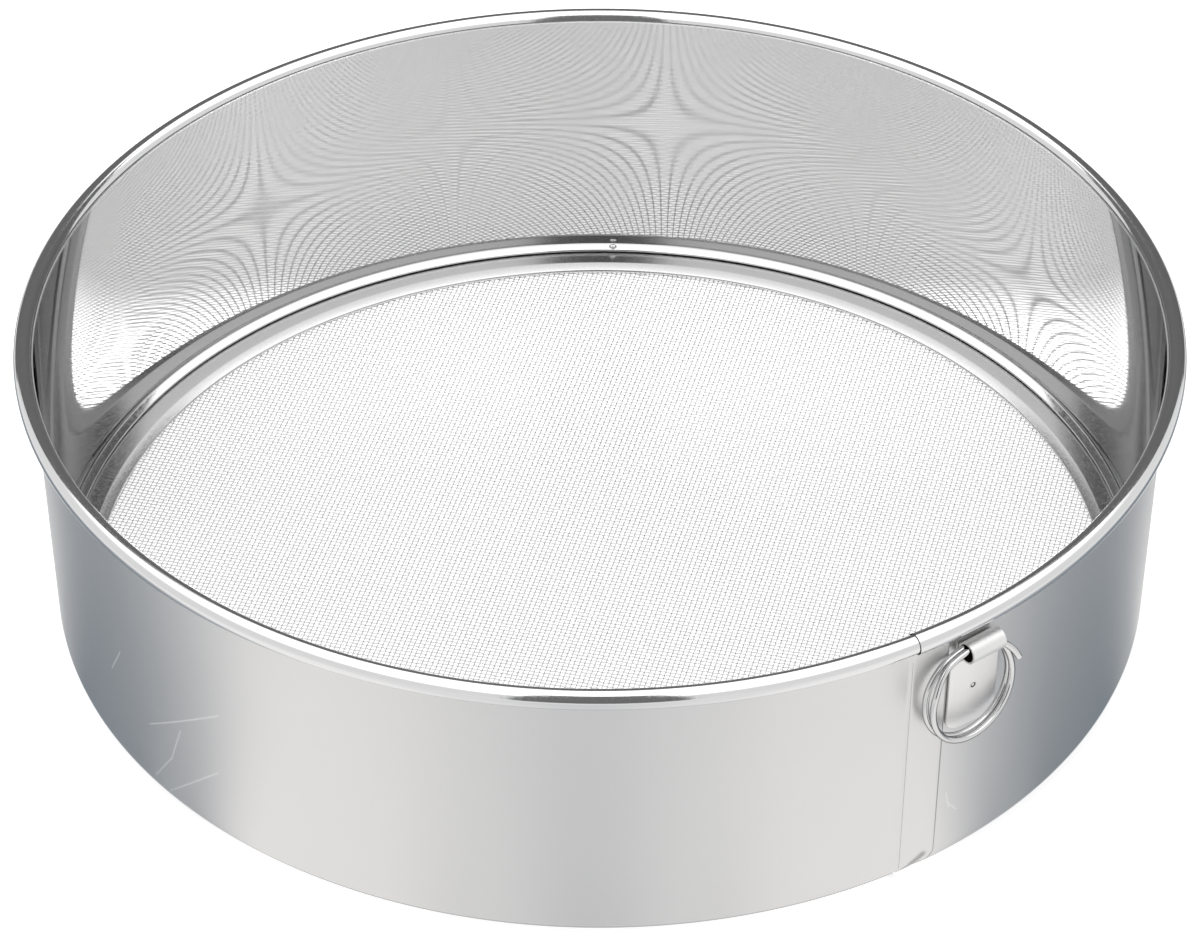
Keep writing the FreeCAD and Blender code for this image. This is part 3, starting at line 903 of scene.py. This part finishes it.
    def light_room(self, scene, looks):
        """A white room with a brighter ceiling."""
        world = bpy.data.worlds.new("room")
        scene.world = world
        world.use_nodes = True
        nodes = world.node_tree.nodes
        desk = NodeDesk(world.node_tree)
        split = desk.add("SeparateXYZ", {0: desk.add("TexCoord").outputs["Generated"]}).outputs
        metal = desk.add("Background", {"Color": (1, 1, 1, 1),
                                        "Strength": desk.rise(split["Z"], 0.55, 0.75, 0.85, 1.7)})
        white = desk.add("Background", {"Color": (1, 1, 1, 1), "Strength": 1.0})
        plain = nodes["Background"]
        plain.inputs["Color"].default_value = (1, 1, 1, 1)
        plain.inputs["Strength"].default_value = looks.room
        rays = desk.add("LightPath").outputs
        shown = desk.add("MixShader", {0: rays["Is Camera Ray"], 1: plain.outputs[0], 2: white.outputs[0]})
        mix = desk.add("MixShader", {0: rays["Is Glossy Ray"], 1: shown.outputs[0], 2: metal.outputs[0]})
        desk.feed(nodes["World Output"].inputs["Surface"], mix.outputs[0])

    def hang_lamp(self, scene, looks):
        """One large soft lamp above and behind the drum."""
        data = bpy.data.lights.new("overhead_lamp", "AREA")
        data.energy = looks.key
        data.shape = "RECTANGLE"
        data.size, data.size_y = 1.2, 0.9
        lamp = bpy.data.objects.new("overhead_lamp", data)
        lamp.location = (-0.25, 0.45, 1.1)
        lamp.rotation_euler = (Vector((0, 0, 0)) - lamp.location).to_track_quat("-Z", "Y").to_euler()
        lamp.visible_glossy = False
        scene.collection.objects.link(lamp)

    def stand_cards(self, scene):
        """Dark cards in front and behind, which the bright rim shows."""
        cards = (("front_card", (0, -0.6, 0.76), 0.30, 1.5, 0.12),
                 ("back_card", (0, 0.55, 0.3), 0.4, 0.6, 0.06),
                 ("left_card", (-0.45, 0.55, 0.38), 0.5, 0.76, 0.06),
                 ("right_card", (0.45, 0.55, 0.38), 0.5, 0.76, 0.06))
        for name, middle, wide, tall, light in cards:
            bm = bmesh.new()
            bmesh.ops.create_grid(bm, x_segments=1, y_segments=1, size=0.5, matrix=Matrix.Translation(
                middle) @ Matrix.Rotation(math.pi / 2, 4, "X") @ Matrix.Diagonal((wide, tall, 1, 1)))
            material = bpy.data.materials.new(name)
            card = self.set_piece(scene, bm, name, material)
            card.visible_camera = card.visible_diffuse = card.visible_shadow = False
            material.use_nodes = True
            nodes = material.node_tree.nodes
            nodes.remove(nodes["Principled BSDF"])
            desk = NodeDesk(material.node_tree)
            glow = desk.add("Emission", {"Color": (1, 1, 1, 1), "Strength": light})
            desk.feed(nodes["Material Output"].inputs["Surface"], glow.outputs[0])

    def set_piece(self, scene, bm, name, material):
        """A piece of the stage."""
        mesh = bpy.data.meshes.new(name)
        bm.to_mesh(mesh)
        bm.free()
        mesh.materials.append(material)
        piece = bpy.data.objects.new(name, mesh)
        scene.collection.objects.link(piece)
        return piece

    def aim_camera(self, scene, looks):
        """The camera, where the photograph was taken from."""
        data = bpy.data.cameras.new("photo_camera")
        data.lens = looks.lens
        data.sensor_width = 36.0
        data.sensor_fit = "HORIZONTAL"
        data.clip_start = 0.01
        camera = bpy.data.objects.new("photo_camera", data)
        camera.location = Vector((0, -858.56, 687.98)) * MM
        aim = Vector((0, -46.88, 62.82)) * MM
        camera.rotation_euler = (aim - camera.location).to_track_quat("-Z", "Y").to_euler()
        scene.collection.objects.link(camera)
        scene.camera = camera


class SIEVE_PT_panel(bpy.types.Panel):
    """Lists the sieve's operators and sizes"""
    bl_idname = "SIEVE_PT_panel"
    bl_label = "Drum sieve"
    bl_space_type = "VIEW_3D"
    bl_region_type = "UI"
    bl_category = "Drum sieve"

    def draw(self, context):
        for operator in OPERATORS:
            self.layout.operator(operator.bl_idname)
        for name, group in GROUPS.items():
            box = self.layout.box()
            box.label(text=group.__doc__)
            for key in group.__annotations__:
                box.prop(settings(name), key)


GROUPS = {"hoop": HoopSizes, "cloth": ClothSizes, "ring": RingSizes, "hanger": HangerSizes,
          "finish": FinishLooks, "stage": StageLooks}
OPERATORS = [SIEVE_OT_hoop, SIEVE_OT_rim_wire, SIEVE_OT_cloth, SIEVE_OT_clamp_ring,
             SIEVE_OT_retaining_wire, SIEVE_OT_hanger, SIEVE_OT_split_ring, SIEVE_OT_stage]


def register():
    """Adds the sizes, the operators and the panel."""
    for group in GROUPS.values():
        bpy.utils.register_class(group)
    for name, group in GROUPS.items():
        setattr(bpy.types.Scene, "sieve_" + name, bpy.props.PointerProperty(type=group))
    for operator in OPERATORS:
        bpy.utils.register_class(operator)
    bpy.utils.register_class(SIEVE_PT_panel)


def unregister():
    """Takes them away again, last first."""
    bpy.utils.unregister_class(SIEVE_PT_panel)
    for operator in reversed(OPERATORS):
        bpy.utils.unregister_class(operator)
    for name, group in reversed(GROUPS.items()):
        delattr(bpy.types.Scene, "sieve_" + name)
        bpy.utils.unregister_class(group)


def main():
    """Makes every piece and the stage."""
    register()
    bpy.ops.sieve.hoop()
    bpy.ops.sieve.rim_wire()
    bpy.ops.sieve.cloth()
    bpy.ops.sieve.clamp_ring()
    bpy.ops.sieve.retaining_wire()
    bpy.ops.sieve.hanger()
    bpy.ops.sieve.split_ring()
    bpy.ops.sieve.stage()


if __name__ == "__main__":
    main()
